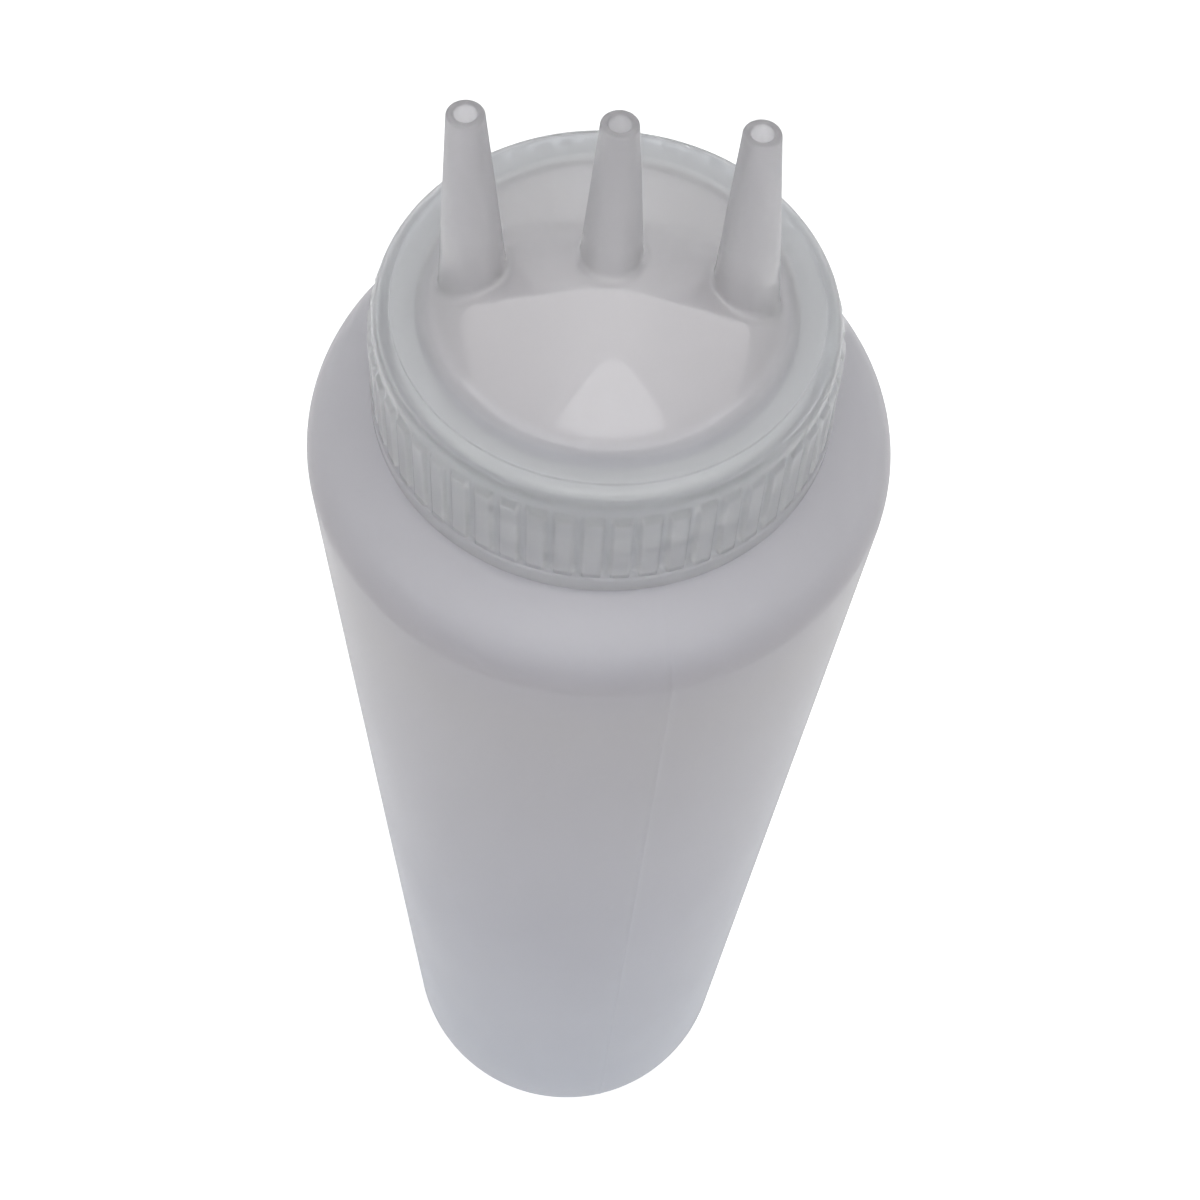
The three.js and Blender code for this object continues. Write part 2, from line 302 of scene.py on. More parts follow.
class Skin:
    """Collects points and faces. Points of neighbouring patches are merged when the mesh is made."""

    def __init__(self):
        self.points = []
        self.faces = []

    def add(self, points, faces):
        start = len(self.points)
        self.points.extend(tuple(point) for point in points)
        self.faces.extend(tuple(start + k for k in face) for face in faces)

    def rings(self, rings):
        """Joins rings of equal count, each an array of points, by four-sided faces."""
        count = len(rings[0])
        points = np.concatenate(rings)
        faces = []
        for row in range(len(rings) - 1):
            for i in range(count):
                a = row * count + i
                b = row * count + (i + 1) % count
                faces.append((a, b, b + count, a + count))
        self.add(points, faces)

    def fan(self, ring, tip):
        """Closes a ring of points onto one point."""
        count = len(ring)
        faces = [(i, (i + 1) % count, count) for i in range(count)]
        self.add([*ring, tip], faces)

    def widen(self, coarse, fine):
        """Joins a ring to one with a whole number of times as many points."""
        times = len(fine) // len(coarse)
        middle = times // 2
        faces = []
        for i in range(len(coarse)):
            after = (i + 1) % len(coarse)
            for k in range(times):
                a = len(coarse) + i * times + k
                b = len(coarse) + (i * times + k + 1) % len(fine)
                near = i if k < middle else after
                faces.append((near, a, b))
            faces.append((i, len(coarse) + i * times + middle, after))
        self.add([*coarse, *fine], faces)

    def build(self, name, material, body, node):
        """Makes the piece, which rides on a body and replaces a node."""
        mesh = bpy.data.meshes.new(name)
        mesh.from_pydata([tuple(map(float, p)) for p in self.points], [], self.faces)
        shape = bmesh.new()
        shape.from_mesh(mesh)
        bmesh.ops.remove_doubles(shape, verts=shape.verts, dist=MERGE_DISTANCE)
        bmesh.ops.recalc_face_normals(shape, faces=shape.faces)
        for face in shape.faces:
            face.smooth = True
        shape.to_mesh(mesh)
        shape.free()
        mesh.materials.append(material)
        piece = bpy.data.objects.new(name, mesh)
        bpy.context.scene.collection.objects.link(piece)
        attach(piece, body)
        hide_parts(node)


def turn(radius, height, angles):
    """A ring of points about the axis. Radius and height may be one value or one for each angle."""
    return np.stack([
        radius * np.cos(angles),
        radius * np.sin(angles),
        height + np.zeros_like(angles),
    ], axis=1)


def even_angles(count):
    return np.arange(count) * 2 * math.pi / count


def thread_rise(angles, height, bottom, turns):
    """How far the thread stands out at a height, as a share of its depth."""
    rise = np.zeros_like(angles)
    flank = (THREAD_ROOT_WIDTH - THREAD_CREST_WIDTH) / 2
    for whole in range(-1, math.ceil(turns) + 1):
        swept = np.mod(angles - THREAD_START_ANGLE, 2 * math.pi) + 2 * math.pi * whole
        middle = bottom + THREAD_PITCH * swept / (2 * math.pi)
        across = smooth_step((THREAD_ROOT_WIDTH / 2 - np.abs(height - middle)) / flank)
        left = np.minimum(swept, 2 * math.pi * turns - swept)
        rise = np.maximum(rise, across * smooth_step(left / THREAD_FADE))
    return rise


# Bottle

def bottle_outside():
    """Base and wall up to the foot of the neck."""
    edge = (BASE_RADIUS - BASE_EDGE_RADIUS, BASE_EDGE_RADIUS)
    slope = math.pi / 2 - SHOULDER_ANGLE
    cone_start = NECK_RADIUS + NECK_FOOT_RADIUS
    neck_foot = LIP_HEIGHT - NECK_HEIGHT
    arc_top = BODY_RADIUS - SHOULDER_EDGE_RADIUS * (1 - math.cos(slope))
    arc_top_height = neck_foot - (arc_top - cone_start) * math.tan(SHOULDER_ANGLE)
    shoulder = (BODY_RADIUS - SHOULDER_EDGE_RADIUS, arc_top_height - SHOULDER_EDGE_RADIUS * math.sin(slope))
    round_edge = arc(edge, BASE_EDGE_RADIUS, -math.pi / 2, 0, steps=10)
    round_shoulder = arc(shoulder, SHOULDER_EDGE_RADIUS, 0, slope, steps=16)
    foot = (cone_start, neck_foot + NECK_FOOT_RADIUS)
    outside = [
        *line((PUSH_UP_RADIUS, PUSH_UP_HEIGHT), (REST_RADIUS, 0), steps=4),
        *round_edge,
        *line(round_edge[-1], round_shoulder[0], steps=24)[1:-1],
        *round_shoulder,
        *line(round_shoulder[-1], (cone_start, neck_foot), steps=6)[1:-1],
        *arc(foot, NECK_FOOT_RADIUS, -math.pi / 2, -math.pi, steps=6),
    ]
    return outside, edge, shoulder, slope


def bottle_inside(edge, shoulder, slope):
    """Inner wall from the neck down to the base."""
    top = arc(shoulder, SHOULDER_EDGE_RADIUS - WALL, slope, 0, steps=12)
    bottom = arc(edge, BASE_EDGE_RADIUS - WALL, 0, -math.pi / 2, steps=10)
    bore_foot_height = top[0][1] + (top[0][0] - NECK_BORE_RADIUS) * math.tan(SHOULDER_ANGLE)
    bore_foot = (NECK_BORE_RADIUS, bore_foot_height)
    return [
        *line((NECK_BORE_RADIUS, LIP_HEIGHT - LIP_ROUNDING), bore_foot, steps=6),
        *line(bore_foot, top[0], steps=4)[1:-1],
        *top,
        *line(top[-1], bottom[0], steps=20)[1:-1],
        *bottom,
        *line((REST_RADIUS, BASE_WALL), (PUSH_UP_RADIUS, PUSH_UP_HEIGHT + BASE_WALL), steps=3),
    ]


def from_seam(angles):
    """How far each angle is from the nearer of the body's two seams."""
    return np.min([np.abs(np.mod(angles - s + math.pi, 2 * math.pi) - math.pi) for s in SEAM_ANGLES], axis=0)


def bottle(material):
    even = even_angles(BODY_SEGMENTS)
    clear = even[from_seam(even) > math.pi / BODY_SEGMENTS]
    across_seam = np.linspace(-1, 1, SEAM_STEPS + 1) * SEAM_WIDTH / BODY_RADIUS
    angles = np.sort(np.concatenate([clear, *[np.mod(s + across_seam, 2 * math.pi) for s in SEAM_ANGLES]]))
    seam = SEAM_HEIGHT * smooth_step(1 - from_seam(angles) * BODY_RADIUS / SEAM_WIDTH)
    outside, edge, shoulder, slope = bottle_outside()
    rings = [turn(r + (seam if r > REST_RADIUS + BASE_EDGE_RADIUS else 0), z, angles) for r, z in outside]
    neck_low = outside[-1][1]
    neck_high = LIP_HEIGHT - LIP_ROUNDING
    rows = round((neck_high - neck_low) / THREAD_ROW_STEP)
    for z in np.linspace(neck_low, neck_high, rows + 1)[1:]:
        rise = thread_rise(angles, z, NECK_THREAD_BOTTOM, NECK_THREAD_TURNS)
        rings.append(turn(NECK_RADIUS + THREAD_DEPTH * rise, z, angles))
    outer_lip = arc((NECK_RADIUS - LIP_ROUNDING, neck_high), LIP_ROUNDING, 0, math.pi / 2, steps=5)[1:]
    inner_lip = arc((NECK_BORE_RADIUS + LIP_ROUNDING, neck_high), LIP_ROUNDING, math.pi / 2, math.pi, steps=5)
    inside = bottle_inside(edge, shoulder, slope)
    rings += [turn(r, z, angles) for r, z in [*outer_lip, *inner_lip, *inside[1:]]]
    skin = Skin()
    skin.rings(rings)
    skin.fan(rings[0], (0, 0, PUSH_UP_HEIGHT))
    skin.fan(rings[-1], (0, 0, PUSH_UP_HEIGHT + BASE_WALL))
    skin.build("squeeze_bottle", material, "bottle", "bottle_body")


# Sealing ring

def seal(material):
    inner, outer = RIM_INNER_RADIUS, SEAL_HIGH[0]
    low, high = SEAL_LOW[2], SEAL_HIGH[2]
    profile = [
        *arc((outer - SEAL_EDGE, low + SEAL_EDGE), SEAL_EDGE, -math.pi / 2, 0, steps=4),
        *arc((outer - SEAL_EDGE, high - SEAL_EDGE), SEAL_EDGE, 0, math.pi / 2, steps=4),
        *arc((inner + SEAL_EDGE, high - SEAL_EDGE), SEAL_EDGE, math.pi / 2, math.pi, steps=4),
        *arc((inner + SEAL_EDGE, low + SEAL_EDGE), SEAL_EDGE, math.pi, 3 * math.pi / 2, steps=4),
    ]
    angles = even_angles(CAP_SEGMENTS)
    skin = Skin()
    skin.rings([turn(r, z, angles) for r, z in [*profile, profile[0]]])
    skin.build("seal_washer", material, "seal", "sealing_ring")


# Roof of the cap

def ridge_drop(x):
    """How far the ridge has come down at a place along the row: a round crown, then straight slopes."""
    crown = RIDGE_RADIUS * math.sin(RIDGE_ANGLE)
    away = np.abs(x)
    on_crown = RIDGE_RADIUS - np.sqrt(np.maximum(RIDGE_RADIUS ** 2 - np.minimum(away, crown) ** 2, 0))
    return on_crown + np.maximum(away - crown, 0) * math.tan(RIDGE_ANGLE)


class Roof:
    """The roof's surface: the lowest of the planes that touch the ridge's edges and the round foot."""

    def __init__(self, inset, foot_radius, foot_height):
        self.top = RIDGE_HEIGHT - inset
        self.foot_radius = foot_radius
        self.foot_height = foot_height
        self.half_length = RIDGE_HALF_LENGTH - inset * RIDGE_INSET_SHARE
        self.front = self.slopes(RIDGE_FRONT - inset * RIDGE_INSET_SHARE)
        self.rear = self.slopes(RIDGE_REAR - inset * RIDGE_INSET_SHARE)

    def slopes(self, edge):
        """Planes through an edge of the ridge at this distance from the row, as slope, slope and level."""
        turns = np.linspace(-RIDGE_ANGLE, RIDGE_ANGLE, PLANES_ON_CROWN)
        places = RIDGE_RADIUS * np.sin(turns)
        along = -np.tan(turns)
        heights = self.top - ridge_drop(places)
        rise = heights - self.foot_height - along * places
        span = self.foot_radius ** 2 - edge ** 2
        root = (rise * edge) ** 2 - span * ((self.foot_radius * along) ** 2 - rise ** 2)
        outward = (rise * edge + np.sqrt(root)) / span
        level = heights - along * places + outward * edge
        last_contact = math.atan2(-outward[-1], -along[-1])
        contact = np.linspace(last_contact, 0, PLANES_ROUND_END)
        reach = self.half_length * np.cos(contact) - edge * np.sin(contact)
        end_rise = self.top - ridge_drop(self.half_length) - self.foot_height
        slope = end_rise / (self.foot_radius - reach)
        end_along = -slope * np.cos(contact)
        end_outward = -slope * np.sin(contact)
        end_level = self.foot_height + slope * self.foot_radius
        return (
            np.concatenate([along, end_along, -end_along]),
            np.concatenate([outward, end_outward, end_outward]),
            np.concatenate([level, end_level, end_level]),
        )

    def side(self, x, y, planes):
        along, outward, level = planes
        return np.min(along[:, None] * x + outward[:, None] * y + level[:, None], axis=0)

    def height(self, x, y):
        deck = self.top - ridge_drop(x)
        front = soft_min(deck, self.side(x, y, self.front), FRONT_CREASE_ROUNDING)
        rear = soft_min(deck, self.side(x, -y, self.rear), REAR_CREASE_ROUNDING)
        return np.minimum(front, rear)


OUTER_ROOF = Roof(0, ROOF_RADIUS, -GUTTER_DEPTH)
INNER_ROOF = Roof(ROOF_WALL, ROOF_HOLLOW_RADIUS, -PLATE)


def gutter(radius):
    """The shallow gutter round the roof's foot and the cove up to the flat rim."""
    share = (radius - GUTTER_OUTER_RADIUS) / (RIM_INNER_RADIUS - GUTTER_OUTER_RADIUS)
    return -GUTTER_DEPTH * (1 - smooth_step(share))


def roof_top(x, y):
    return soft_max(OUTER_ROOF.height(x, y), gutter(np.hypot(x, y)), FOOT_ROUNDING)


def roof_under(x, y):
    return np.maximum(INNER_ROOF.height(x, y), -PLATE)


def rows_between(low, high):
    """Places of the grid's rows from low to high, closer beside each crease."""
    near = CREASE_ROWS * CREASE_GRID
    values = [
        v for v in np.arange(low, high, ROOF_GRID)
        if min(abs(v - c) for c in CREASES) > near + ROOF_GRID / 2
    ]
    for c in CREASES:
        values += list(np.linspace(c - near, c + near, 2 * CREASE_ROWS + 1))
    return sorted(values)


def patch(skin, surface, edge_radius, collar_rings, holes):
    """Fills a round surface with triangles between its edge and the loops round the holes."""
    points = []
    edges = []

    def scatter(places):
        points.extend(Vector((float(x), float(y))) / MM for x, y in places)

    def loop(ring):
        start = len(points)
        scatter(ring)
        edges.extend((start + i, start + (i + 1) % len(ring)) for i in range(len(ring)))

    angles = even_angles(CAP_SEGMENTS)
    loop(turn(edge_radius, 0, angles)[:, :2])
    for radius in collar_rings:
        scatter(turn(radius, 0, angles)[:, :2])
    inner = min([edge_radius, *collar_rings]) - GRID_MARGIN
    keep_out = []
    for centre, ring in holes:
        loop(ring)
        reach = np.hypot(ring[:, 0] - centre, ring[:, 1])
        for grow, every in ((HOLE_NEAR_RING, 1), (HOLE_FAR_RING, 2)):
            factor = (reach + grow) / reach
            grown = np.stack([centre + (ring[:, 0] - centre) * factor, ring[:, 1] * factor], axis=1)[::every]
            scatter(grown[np.hypot(grown[:, 0], grown[:, 1]) < inner])
        keep_out.append((centre, float(np.max(reach)) + HOLE_MARGIN, ring))
    for row, y in enumerate(rows_between(-edge_radius, edge_radius)):
        shift = ROOF_GRID / 2 if row % 2 else 0
        for x in np.arange(-edge_radius + shift, edge_radius, ROOF_GRID):
            if math.hypot(x, y) <= inner and all(math.hypot(x - c, y) >= r for c, r, _ in keep_out):
                scatter([(x, y)])
    flat, _, triangles, _, _, _ = delaunay_2d_cdt(points, edges, [], 0, GRID_TOLERANCE_MM)
    flat = np.array([(p.x, p.y) for p in flat]) * MM
    kept = []
    for face in triangles:
        centre = flat[list(face)].mean(axis=0)
        if not any(in_hole(centre, c, ring) for c, _, ring in keep_out):
            kept.append(tuple(face))
    heights = surface(flat[:, 0], flat[:, 1])
    skin.add(np.column_stack([flat, RIM + heights]), kept)


def in_hole(point, centre, ring):
    """Whether a point is inside the loop round a hole."""
    angle = math.atan2(point[1], point[0] - centre)
    around = np.arctan2(ring[:, 1], ring[:, 0] - centre)
    reach = np.hypot(ring[:, 0] - centre, ring[:, 1])
    order = np.argsort(around)
    limit = np.interp(angle, around[order], reach[order], period=2 * math.pi)
    return math.hypot(point[0] - centre, point[1]) < limit


def bezier(start, control, end, steps):
    """Points of a curve that leaves start and reaches end towards the control point."""
    shares = np.linspace(0, 1, steps + 1)
    return [(1 - t) ** 2 * start + 2 * t * (1 - t) * control + t ** 2 * end for t in shares]


def nozzle_radius(height):
    foot = RIDGE_HEIGHT - ridge_drop(RIDGE_HALF_LENGTH)
    share = (height - foot) / (NOZZLE_HEIGHT - NOZZLE_TIP_ROUNDING - foot)
    return NOZZLE_FOOT_RADIUS + (NOZZLE_TIP_RADIUS - NOZZLE_FOOT_RADIUS) * share


def bore_radius(height):
    share = (height + GUTTER_DEPTH) / (NOZZLE_HEIGHT + GUTTER_DEPTH)
    return BORE_FOOT_RADIUS + (BORE_TIP_RADIUS - BORE_FOOT_RADIUS) * share


def meeting(axis_at, radius_at, surface, angles):
    """Heights at which a cone about its axis meets a surface, one for each angle."""
    height = surface(axis_at(np.zeros_like(angles)), np.zeros_like(angles))
    for _ in range(MEETING_ROUNDS):
        radius = radius_at(height)
        height = surface(axis_at(height) + radius * np.cos(angles), radius * np.sin(angles))
    return height


def nozzle(skin, centre, tip_shift):
    """One nozzle with its bore. Returns the loops where it meets the roof's top and underside."""
    angles = even_angles(NOZZLE_SEGMENTS)

    def axis_at(height):
        return centre + tip_shift * height / NOZZLE_HEIGHT

    def ring(radius, height):
        x = axis_at(height) + radius * np.cos(angles)
        return np.column_stack([x, radius * np.sin(angles), RIM + height + np.zeros_like(angles)])

    def pairs(radius, height):
        return np.stack([radius + np.zeros_like(angles), height + np.zeros_like(angles)])

    def cone(radius_at, start, end):
        heights = [start + (end - start) * share for share in np.linspace(0, 1, NOZZLE_ROWS + 1)[1:]]
        return [pairs(radius_at(height), height) for height in heights]

    foot = meeting(axis_at, nozzle_radius, roof_top, angles)
    foot_radius = nozzle_radius(foot)
    out_radius = foot_radius + NOZZLE_FILLET
    out_height = meeting(axis_at, lambda _: out_radius, roof_top, angles)
    up_height = foot + NOZZLE_FILLET
    fillet = bezier(
        pairs(out_radius, out_height), pairs(foot_radius, foot), pairs(nozzle_radius(up_height), up_height),
        steps=6)
    shaft_top = NOZZLE_HEIGHT - NOZZLE_TIP_ROUNDING
    shaft = cone(nozzle_radius, up_height, shaft_top)
    tip_centre = (NOZZLE_TIP_RADIUS - NOZZLE_TIP_ROUNDING, shaft_top)
    tip = [pairs(r, z) for r, z in arc(tip_centre, NOZZLE_TIP_ROUNDING, 0, math.pi / 2, steps=5)[1:]]
    mouth_centre = (BORE_TIP_RADIUS + BORE_ROUNDING, NOZZLE_HEIGHT - BORE_ROUNDING)
    mouth = [pairs(r, z) for r, z in arc(mouth_centre, BORE_ROUNDING, math.pi / 2, math.pi, steps=4)]
    under = meeting(axis_at, bore_radius, roof_under, angles)
    wide_radius = bore_radius(under) + BORE_ROUNDING
    wide_height = meeting(axis_at, lambda _: wide_radius, roof_under, angles)
    down_height = under + BORE_ROUNDING
    bore = cone(bore_radius, mouth_centre[1], down_height)
    flare = bezier(bore[-1], pairs(bore_radius(under), under), pairs(wide_radius, wide_height), steps=3)[1:]
    rows = [*fillet, *shaft, *tip, *mouth, *bore, *flare]
    rings = [ring(r, z) for r, z in rows]
    skin.rings(rings)
    return (centre, rings[0][:, :2]), (centre, rings[-1][:, :2])


# Plate and skirt of the cap

def rib_share(angles):
    """1 on the ribs and 0 in the grooves, with rounded edges."""
    pitch = 2 * math.pi / RIB_COUNT
    across = np.abs(np.mod(angles, pitch) - pitch / 2) * SHOULDER_RADIUS
    return smooth_step((RIB_WIDTH / 2 + RIB_EDGE / 2 - across) / RIB_EDGE)


def cap_shoulder(angles):
    """Points of the round shoulder between the rim and the skirt, which starts upright at angle 0."""
    run = SHOULDER_RADIUS - RIM_OUTER_RADIUS
    fall = SHOULDER_DROP - RIM_STEP
    return [(RIM_OUTER_RADIUS + run * math.cos(a), -SHOULDER_DROP + fall * math.sin(a)) for a in angles]


def skirt_rings():
    """Rings of the skirt's outside, from the round shoulder down to the foot."""
    angles = even_angles(RIB_COUNT * STEPS_PER_RIB)
    ribs = rib_share(angles)
    band_top = SKIRT_FOOT + BAND_HEIGHT
    rings = [turn(r, RIM + z, angles) for r, z in cap_shoulder(SHOULDER_SKIRT_ANGLES)]
    rib_top = -SHOULDER_DROP - RIB_TOP_SLOPE
    heights = [
        *np.linspace(-SHOULDER_DROP, rib_top, RIB_TOP_ROWS + 1)[1:],
        *np.linspace(rib_top, band_top, RIB_ROWS + 1)[1:],
    ]
    for height in heights:
        share = (height + SHOULDER_DROP) / (band_top + SHOULDER_DROP)
        floor = SHOULDER_RADIUS + (SKIRT_FOOT_RADIUS - SHOULDER_RADIUS) * share
        proud = RIB_PROUD * smooth_step((-SHOULDER_DROP - height) / RIB_TOP_SLOPE)
        rings.append(turn(floor + proud * ribs, RIM + height, angles))
    band = [
        *arc((BAND_RADIUS - BAND_EDGE, band_top - BAND_EDGE), BAND_EDGE, math.pi / 2, 0, steps=4),
        *arc((BAND_RADIUS - BAND_EDGE, SKIRT_FOOT + BAND_EDGE), BAND_EDGE, 0, -math.pi / 2, steps=4),
    ]
    rings += [turn(r, RIM + z, angles) for r, z in band]
    return rings


def plate_rings():
    """Rings of the flat rim, from the gutter out to the start of the round shoulder."""
    angles = even_angles(CAP_SEGMENTS)
    cove = [(r, gutter(r)) for r in np.linspace(ROOF_EDGE_RADIUS, RIM_INNER_RADIUS, COVE_STEPS + 1)]
    part = RIM_EDGE * RIM_EDGE_SHARE
    profile = [
        *cove,
        *line((RIM_INNER_RADIUS, 0), (RIM_OUTER_RADIUS - RIM_EDGE, 0), steps=4)[1:],
        (RIM_OUTER_RADIUS - part, -part),
        (RIM_OUTER_RADIUS, -RIM_EDGE),
        (RIM_OUTER_RADIUS, -RIM_STEP + part),
        *cap_shoulder(SHOULDER_PLATE_ANGLES),
    ]
    return [turn(r, RIM + z, angles) for r, z in profile]


def lining_rings():
    """Rings of the inside, from the skirt's foot up past the thread to the plate's underside."""
    angles = even_angles(CAP_SEGMENTS)
    lead_in = line(
        (SKIRT_INNER_RADIUS + SKIRT_LEAD_IN, SKIRT_FOOT), (SKIRT_INNER_RADIUS, SKIRT_FOOT + SKIRT_LEAD_IN),
        steps=3)
    rings = [turn(r, RIM + z, angles) for r, z in lead_in]
    thread_bottom = NECK_THREAD_BOTTOM + THREAD_PITCH / 2
    low = SKIRT_FOOT + SKIRT_LEAD_IN
    high = -PLATE - SKIRT_CORNER_RADIUS
    rows = round((high - low) / THREAD_ROW_STEP)
    depth = SKIRT_INNER_RADIUS - NECK_RADIUS - THREAD_TIP_CLEARANCE
    for z in np.linspace(low, high, rows + 1)[1:]:
        rise = thread_rise(angles, RIM + z, thread_bottom, CAP_THREAD_TURNS)
        rings.append(turn(SKIRT_INNER_RADIUS - depth * rise, RIM + z, angles))
    corner_radius = SKIRT_INNER_RADIUS - SKIRT_CORNER_RADIUS
    corner = arc((corner_radius, high), SKIRT_CORNER_RADIUS, 0, math.pi / 2, steps=5)
    plate = line((corner_radius, -PLATE), (ROOF_HOLLOW_RADIUS, -PLATE), steps=8)
    rings += [turn(r, RIM + z, angles) for r, z in [*corner[1:], *plate[1:]]]
    return rings


def cap(material):
    skin = Skin()
    places = [(-NOZZLE_SPACING, 0), (0, 0), (NOZZLE_SPACING, RIGHT_TIP_SHIFT)]
    loops = [nozzle(skin, centre, tip_shift) for centre, tip_shift in places]
    patch(skin, roof_top, ROOF_EDGE_RADIUS, FOOT_RINGS, [top for top, _ in loops])
    patch(skin, roof_under, ROOF_HOLLOW_RADIUS, [], [under for _, under in loops])
    plate = plate_rings()
    skirt = skirt_rings()
    lining = lining_rings()
    skin.rings(plate)
    skin.widen(plate[-1], skirt[0])
    skin.rings(skirt)
    skin.widen(lining[0], skirt[-1])
    skin.rings(lining)
    skin.build("nozzle_cap", material, "cap", "screw_cap")


# Materials

def join(tree, target, inputs):
    """Gives each listed input of a node a value, or joins it to another node's output."""
    for name, value in inputs.items():
        if isinstance(value, bpy.types.NodeSocket):
            tree.links.new(value, target.inputs[name])
        else:
            target.inputs[name].default_value = value


def add_node(tree, kind, inputs, **settings):
    made = tree.nodes.new(kind)
    for name, value in settings.items():
        setattr(made, name, value)
    join(tree, made, inputs)
    return made


def nodes_of(name):
    material = bpy.data.materials.new(name)
    material.use_nodes = True
    tree = material.node_tree
    return material, tree, tree.nodes["Principled BSDF"]


def place_on(tree):
    """The place on the object, in metres."""
    return add_node(tree, "ShaderNodeTexCoord", {}).outputs["Object"]


def height_on(tree):
    return add_node(tree, "ShaderNodeSeparateXYZ", {"Vector": place_on(tree)}).outputs["Z"]


def radius_on(tree):
    """The distance from the bottle's axis."""
    level = add_node(tree, "ShaderNodeVectorMath", {0: place_on(tree), 1: (1, 1, 0)}, operation="MULTIPLY")
    length = add_node(tree, "ShaderNodeVectorMath", {0: level.outputs["Vector"]}, operation="LENGTH")
    return length.outputs["Value"]


def noise(tree, scale, detail, stretch=(1, 1, 1)):
    """A noise pattern fixed to the object, with about scale lumps to the metre."""
    stretched = add_node(tree, "ShaderNodeMapping", {"Vector": place_on(tree), "Scale": stretch})
    pattern = add_node(
        tree, "ShaderNodeTexNoise", {"Vector": stretched.outputs["Vector"], "Scale": scale, "Detail": detail})
    return pattern.outputs["Fac"]


def clouded(tree, value, low, high):
    """A noise value turned into a colour between two."""
    colours = add_node(tree, "ShaderNodeValToRGB", {"Fac": value})
    for element, position, colour in zip(colours.color_ramp.elements, CLOUD_RANGE, (low, high)):
        element.position = position
        element.color = (*colour, 1)
    return colours.outputs["Color"]


def spread(tree, value, low, high):
    """A noise value spread between two numbers."""
    from_low, from_high = SHEEN_RANGE
    return add_node(tree, "ShaderNodeMapRange", {
        "Value": value, "From Min": from_low, "From Max": from_high, "To Min": low, "To Max": high,
    }).outputs["Result"]


def graded(tree, measure, stops):
    """A colour or number that changes with a measure. Each stop is a measure and its value, lowest first."""
    low, high = stops[0][0], stops[-1][0]
    share = add_node(tree, "ShaderNodeMapRange", {"Value": measure, "From Min": low, "From Max": high})
    colours = add_node(tree, "ShaderNodeValToRGB", {"Fac": share.outputs["Result"]})
    elements = colours.color_ramp.elements
    for at, _ in stops[1:-1]:
        elements.new((at - low) / (high - low))
    for element, (_, value) in zip(elements, stops):
        element.color = (*value, 1) if isinstance(value, tuple) else (value, value, value, 1)
    return colours.outputs["Color"]


def multiplied(tree, a, b):
    return add_node(tree, "ShaderNodeMath", {0: a, 1: b}, operation="MULTIPLY").outputs["Value"]


def shade(material, measure, stops):
    """Multiplies a material's colour by one that changes with a measure."""
    tree = material.node_tree
    base = tree.nodes["Principled BSDF"].inputs["Base Color"]
    tint = add_node(tree, "ShaderNodeMix", {
        "Factor": 1, "A": base.links[0].from_socket, "B": graded(tree, measure, stops),
    }, data_type="RGBA", blend_type="MULTIPLY")
    tree.links.new(tint.outputs["Result"], base)


def plastic(
        name, low, high, roughness, ior, specular, subsurface, cloud_scale, grain_scale, grain_depth,
        transmission=0, gloss_roughness=0, stretch=(1, 1, 1)):
    """Milky plastic: clouds in its colour, an uneven sheen and a fine moulded grain."""
    material, tree, shader = nodes_of(name)
    clouds = noise(tree, cloud_scale, CLOUD_DETAIL, stretch)
    sheen = noise(tree, cloud_scale * SHEEN_FINENESS, SHEEN_DETAIL, stretch)
    grain = noise(tree, grain_scale, GRAIN_DETAIL)
    bump = add_node(
        tree, "ShaderNodeBump", {"Distance": grain_depth, "Strength": GRAIN_STRENGTH, "Height": grain})
    join(tree, shader, {
        "Base Color": clouded(tree, clouds, low, high),
        "Roughness": spread(tree, sheen, *roughness),
        "IOR": ior,
        "Specular IOR Level": specular,
        "Transmission Weight": transmission,
        "Subsurface Weight": subsurface,
        "Subsurface Radius": (1, 1, 1),
        "Subsurface Scale": SCATTER_DEPTH,
        "Coat Roughness": gloss_roughness,
        "Normal": bump.outputs["Normal"],
    })
    return material


def body_plastic():
    material = plastic(
        "milky_body_plastic", low=(0.75, 0.745, 0.78), high=(0.81, 0.805, 0.835), roughness=(0.29, 0.35),
        ior=1.5, specular=0.08, subsurface=0.3, cloud_scale=25, grain_scale=900, grain_depth=0.03 * MM,
        transmission=0.6, stretch=(1, 1, 0.4))
    # Painted light and shade on the body, by height.
    shade(material, height_on(material.node_tree), BODY_TONE_AND_PAINTED_LIGHT)
    return material


def cap_plastic():
    """Clear in the skirt, milkier in the roof and the nozzles, and glossy on the roof."""
    material = plastic(
        "clear_cap_plastic", low=(0.96, 0.96, 0.965), high=(0.98, 0.98, 0.985), roughness=(0.3, 0.36),
        ior=1.35, specular=0.12, subsurface=0.5, cloud_scale=40, grain_scale=1200, grain_depth=0.003 * MM,
        gloss_roughness=0.015)
    tree = material.node_tree
    shader = tree.nodes["Principled BSDF"]
    uneven = shader.inputs["Roughness"].links[0].from_socket
    on_nozzles = graded(tree, height_on(tree), GLOSS_BY_HEIGHT)
    on_rim = graded(tree, radius_on(tree), GLOSS_BY_RADIUS)
    join(tree, shader, {
        "Transmission Weight": graded(tree, height_on(tree), CAP_CLEARNESS),
        "Roughness": multiplied(tree, uneven, graded(tree, height_on(tree), CAP_ROUGHNESS)),
        "Coat Weight": multiplied(tree, on_nozzles, on_rim),
    })
    # Painted shade and light on the nozzles and the roof, by height and by radius.
    shade(material, height_on(tree), CAP_PAINTED_SHADE_BY_HEIGHT)
    shade(material, radius_on(tree), CAP_PAINTED_LIGHT_BY_RADIUS)
    return material


def seal_rubber():
    return plastic(
        "seal_rubber", low=(0.6, 0.6, 0.6), high=(0.68, 0.68, 0.67), roughness=(0.5, 0.65),
        ior=1.5, specular=0.5, subsurface=0.2, cloud_scale=120, grain_scale=2500, grain_depth=0.02 * MM)


# Stage, light and camera

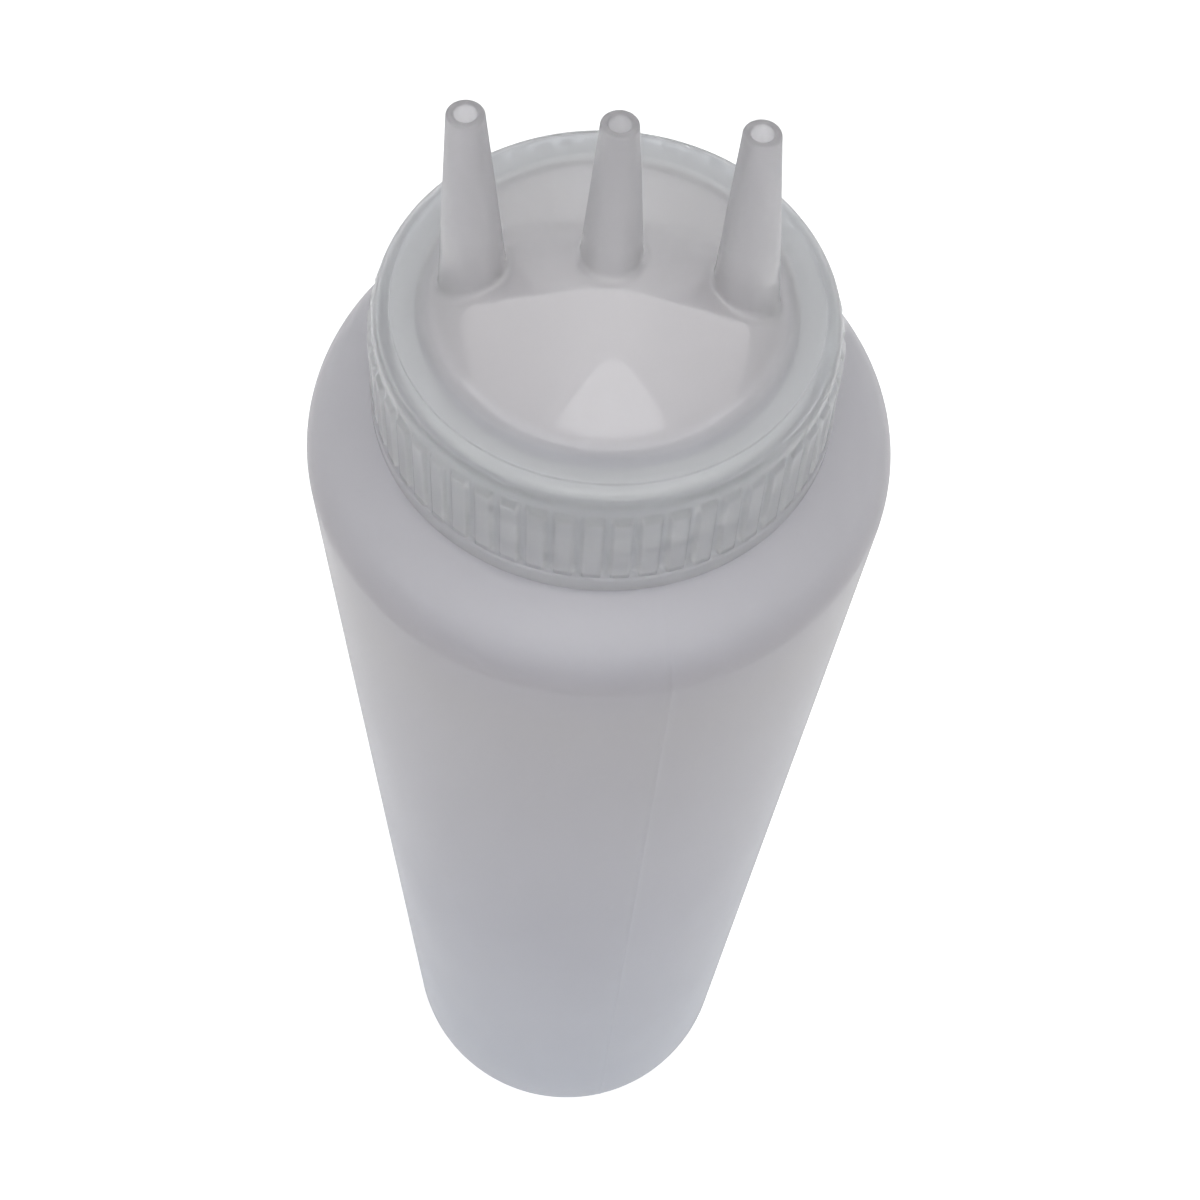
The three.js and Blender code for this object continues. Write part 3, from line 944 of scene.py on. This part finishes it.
def in_view(tree):
    """1 for rays that show the surroundings to the camera, straight, mirrored or through clear plastic."""
    rays = add_node(tree, "ShaderNodeLightPath", {})
    shown = rays.outputs["Is Camera Ray"]
    for kind in ("Is Glossy Ray", "Is Transmission Ray"):
        shown = add_node(
            tree, "ShaderNodeMath", {0: shown, 1: rays.outputs[kind]}, operation="MAXIMUM").outputs["Value"]
    return shown


def floor():
    """A pale floor. The camera sees it lighter than it is, so that it is white round a soft shadow."""
    mesh = bpy.data.meshes.new("floor")
    corners = [(x * FLOOR_REACH, y * FLOOR_REACH, 0) for x, y in ((-1, -1), (1, -1), (1, 1), (-1, 1))]
    mesh.from_pydata(corners, [], [(0, 1, 2, 3)])
    material, tree, shader = nodes_of("floor_paint")
    join(tree, shader, {
        "Base Color": FLOOR_COLOUR, "Roughness": FLOOR_ROUGHNESS, "Specular IOR Level": FLOOR_SPECULAR})
    strength = add_node(tree, "ShaderNodeMath", {0: in_view(tree), 1: FLOOR_GLOW}, operation="MULTIPLY")
    glow = add_node(tree, "ShaderNodeEmission", {"Strength": strength.outputs["Value"]})
    both = add_node(tree, "ShaderNodeAddShader", {0: shader.outputs["BSDF"], 1: glow.outputs["Emission"]})
    join(tree, tree.nodes["Material Output"], {"Surface": both.outputs["Shader"]})
    mesh.materials.append(material)
    plane = bpy.data.objects.new("floor", mesh)
    bpy.context.scene.collection.objects.link(plane)


def world():
    """Even pale surroundings that the camera sees as white."""
    surroundings = bpy.data.worlds.new("surroundings")
    bpy.context.scene.world = surroundings
    surroundings.use_nodes = True
    tree = surroundings.node_tree
    light = tree.nodes["Background"]
    join(tree, light, {"Color": WORLD_COLOUR, "Strength": WORLD_STRENGTH})
    seen = add_node(tree, "ShaderNodeBackground", {"Color": (1, 1, 1, 1)})
    mix = add_node(tree, "ShaderNodeMixShader", {
        "Fac": in_view(tree), 1: light.outputs["Background"], 2: seen.outputs["Background"]})
    join(tree, tree.nodes["World Output"], {"Surface": mix.outputs["Shader"]})


def lights():
    """Rectangular lamps that face the cap's top, their long sides level."""
    for name, place, size, power, colour in LAMPS:
        light = bpy.data.lights.new(name, "AREA")
        light.shape = "RECTANGLE"
        light.size, light.size_y = size
        light.energy = power
        light.color = colour
        facing = (Vector(LAMP_TARGET) - Vector(place)).to_track_quat("-Z", "Y").to_matrix()
        lamp = bpy.data.objects.new(name, light)
        lamp.matrix_world = Matrix.Translation(place) @ facing.to_4x4()
        bpy.context.scene.collection.objects.link(lamp)


def turned(first, second, angle):
    """Two axes turned in their own plane, the first towards the second."""
    return (
        first * math.cos(angle) + second * math.sin(angle),
        second * math.cos(angle) - first * math.sin(angle),
    )


def camera():
    """The photograph's camera: a place on a sphere round the cap's rim, then turned off its centre."""
    back = Vector((0, -math.cos(CAMERA_HEIGHT_ANGLE), math.sin(CAMERA_HEIGHT_ANGLE)))
    right = Vector((1, 0, 0))
    up = back.cross(right)
    place = Vector((0, 0, RIM)) + back * CAMERA_DISTANCE
    back, up = turned(back, up, CAMERA_PITCH)
    back, right = turned(back, right, CAMERA_YAW)
    right, up = turned(right, up, -CAMERA_ROLL)
    data = bpy.data.cameras.new("camera")
    data.lens = CAMERA_LENS_MM
    data.sensor_width = CAMERA_SENSOR_MM
    data.clip_start = CAMERA_NEAR
    data.clip_end = CAMERA_FAR
    view = bpy.data.objects.new("camera", data)
    view.matrix_world = Matrix.Translation(place) @ Matrix((right, up, back)).transposed().to_4x4()
    bpy.context.scene.collection.objects.link(view)
    bpy.context.scene.camera = view


camera()
bottle(body_plastic())
seal(seal_rubber())
cap(cap_plastic())
floor()
world()
lights()
bpy.context.scene.view_settings.view_transform = "Standard"
